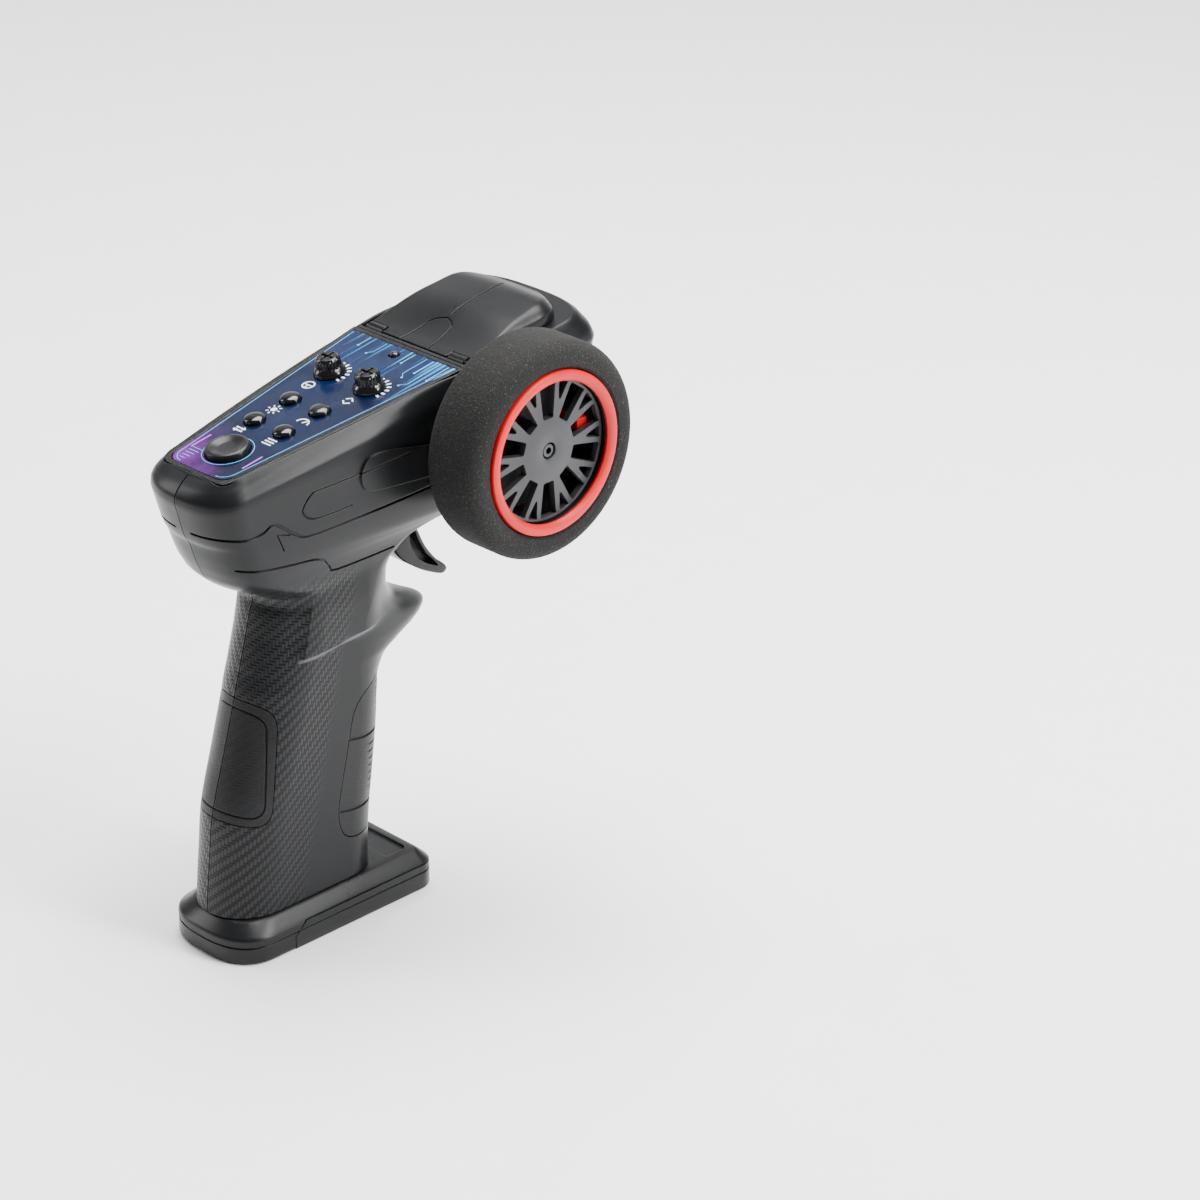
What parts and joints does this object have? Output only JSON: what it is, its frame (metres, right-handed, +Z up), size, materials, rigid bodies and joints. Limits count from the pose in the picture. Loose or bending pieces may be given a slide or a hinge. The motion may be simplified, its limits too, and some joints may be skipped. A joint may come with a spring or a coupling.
{
  "type": "radio transmitter controller",
  "caption": "Pistol-grip radio transmitter for a model car, with a foam-tyred steering wheel on its side, a throttle trigger, a sloping button panel and a flip lid on a flat battery foot.",
  "frame": {"origin": "centre of the flat underside of the foot", "axes": "+Z up along the grip, +Y towards the front of the head, away from the user, +X to the side that carries the steering wheel"},
  "size_m": [0.0763, 0.1357, 0.1701],
  "materials": {
    "black_plastic": "satin moulded, dark grey to black",
    "gloss_black": "glossy black",
    "panel_print": "printed dark blue film, satin",
    "soft_rubber": "soft touch with a woven pattern",
    "foam": "fine open-cell foam",
    "red_plastic": "glossy red",
    "grey_plastic": "satin grey",
    "steel": "plain zinc plated",
    "nickel": "nickel plated",
    "board_green": "solder-masked glass fibre board",
    "switch_body": "dull black",
    "pot_body": "dull dark blue",
    "cell_wrap": "plain printed sleeve with no text",
    "lamp_lens": "dark tinted lens",
    "lead_sleeve": "PVC sleeve",
    "aerial_sleeve": "PVC sleeve"
  },
  "bodies": {
    "housing": {"left_casing": "black_plastic", "right_casing": "black_plastic", "foot": "black_plastic", "control_panel": "gloss_black", "panel_overlay": "panel_print", "palm_insert_left": "soft_rubber", "palm_insert_right": "soft_rubber", "finger_grip_left": "soft_rubber", "finger_grip_right": "soft_rubber", "battery_box": "black_plastic", "battery_cell_front": "cell_wrap", "battery_cell_rear": "cell_wrap", "battery_contact_front": "nickel", "battery_contact_rear": "nickel", "main_circuit_board": "board_green", "tact_switch_power": "switch_body", "tact_switch_reverse": "switch_body", "tact_switch_mode": "switch_body", "tact_switch_light": "switch_body", "tact_switch_speed": "switch_body", "trim_potentiometer_left": "switch_body", "trim_potentiometer_right": "switch_body", "status_lamp": "lamp_lens", "steering_bush": "grey_plastic", "steering_potentiometer": "pot_body", "steering_return_spring": "steel", "trigger_pin": "steel", "trigger_potentiometer": "pot_body", "trigger_return_spring": "steel", "lid_pin_left": "steel", "lid_pin_right": "steel", "casing_screw_1": "steel", "casing_screw_2": "steel", "casing_screw_3": "steel", "casing_screw_4": "steel", "casing_screw_5": "steel", "foot_screw_left": "steel", "foot_screw_right": "steel", "battery_lead": "lead_sleeve", "aerial_wire": "aerial_sleeve"},
    "steering_wheel": {"foam_tyre": "foam", "wheel_rim": "gloss_black", "wheel_ring": "red_plastic", "wheel_spokes": "grey_plastic", "wheel_screw": "steel", "steering_shaft": "steel", "steering_return_lever": "grey_plastic"},
    "throttle": {"trigger": "black_plastic"},
    "lid": {"flip_lid": "black_plastic"},
    "battery_hatch": {"battery_cover": "black_plastic", "battery_bridge_plate": "nickel", "battery_spring_front": "nickel", "battery_spring_rear": "nickel"},
    "knob_left": {"trim_knob_left": "gloss_black"},
    "knob_right": {"trim_knob_right": "gloss_black"},
    "key_power": {"button_power": "gloss_black"},
    "key_reverse": {"button_reverse": "gloss_black"},
    "key_mode": {"button_mode": "gloss_black"},
    "key_light": {"button_light": "gloss_black"},
    "key_speed": {"button_speed": "gloss_black"}
  },
  "joints": [
    {"name": "steering", "type": "hinge", "parent": "housing", "child": "steering_wheel", "pos_m": [0.0407, 0.0531, 0.1391], "axis": [1, 0, 0], "range_deg": [-40, 40], "stiffness_Nm_per_rad": 0.03},
    {"name": "throttle_pull", "type": "hinge", "parent": "housing", "child": "throttle", "pos_m": [0, 0.044, 0.124], "axis": [-1, 0, 0], "range_deg": [-10, 16], "stiffness_Nm_per_rad": 0.05},
    {"name": "lid_hinge", "type": "hinge", "parent": "housing", "child": "lid", "pos_m": [0, 0.04973, 0.15707], "axis": [1, 0, 0], "range_deg": [0, 105]},
    {"name": "battery_hatch_slide", "type": "slide", "parent": "housing", "child": "battery_hatch", "axis": [0, 1, 0], "range_m": [0, 0.03]},
    {"name": "steering_trim", "type": "hinge", "parent": "housing", "child": "knob_left", "pos_m": [-0.0081, 0.02449, 0.1539], "axis": [0, -0.1788, 0.9839], "range_deg": [-140, 140]},
    {"name": "throttle_trim", "type": "hinge", "parent": "housing", "child": "knob_right", "pos_m": [0.0081, 0.02449, 0.1539], "axis": [0, -0.1788, 0.9839], "range_deg": [-140, 140]},
    {"name": "press_power", "type": "slide", "parent": "housing", "child": "key_power", "axis": [0, 0.1788, -0.9839], "range_m": [0, 0.0008], "stiffness_N_per_m": 600},
    {"name": "press_reverse", "type": "slide", "parent": "housing", "child": "key_reverse", "axis": [0, 0.1788, -0.9839], "range_m": [0, 0.0008], "stiffness_N_per_m": 600},
    {"name": "press_mode", "type": "slide", "parent": "housing", "child": "key_mode", "axis": [0, 0.1788, -0.9839], "range_m": [0, 0.0008], "stiffness_N_per_m": 600},
    {"name": "press_light", "type": "slide", "parent": "housing", "child": "key_light", "axis": [0, 0.1788, -0.9839], "range_m": [0, 0.0008], "stiffness_N_per_m": 600},
    {"name": "press_speed", "type": "slide", "parent": "housing", "child": "key_speed", "axis": [0, 0.1788, -0.9839], "range_m": [0, 0.0008], "stiffness_N_per_m": 600}
  ]
}
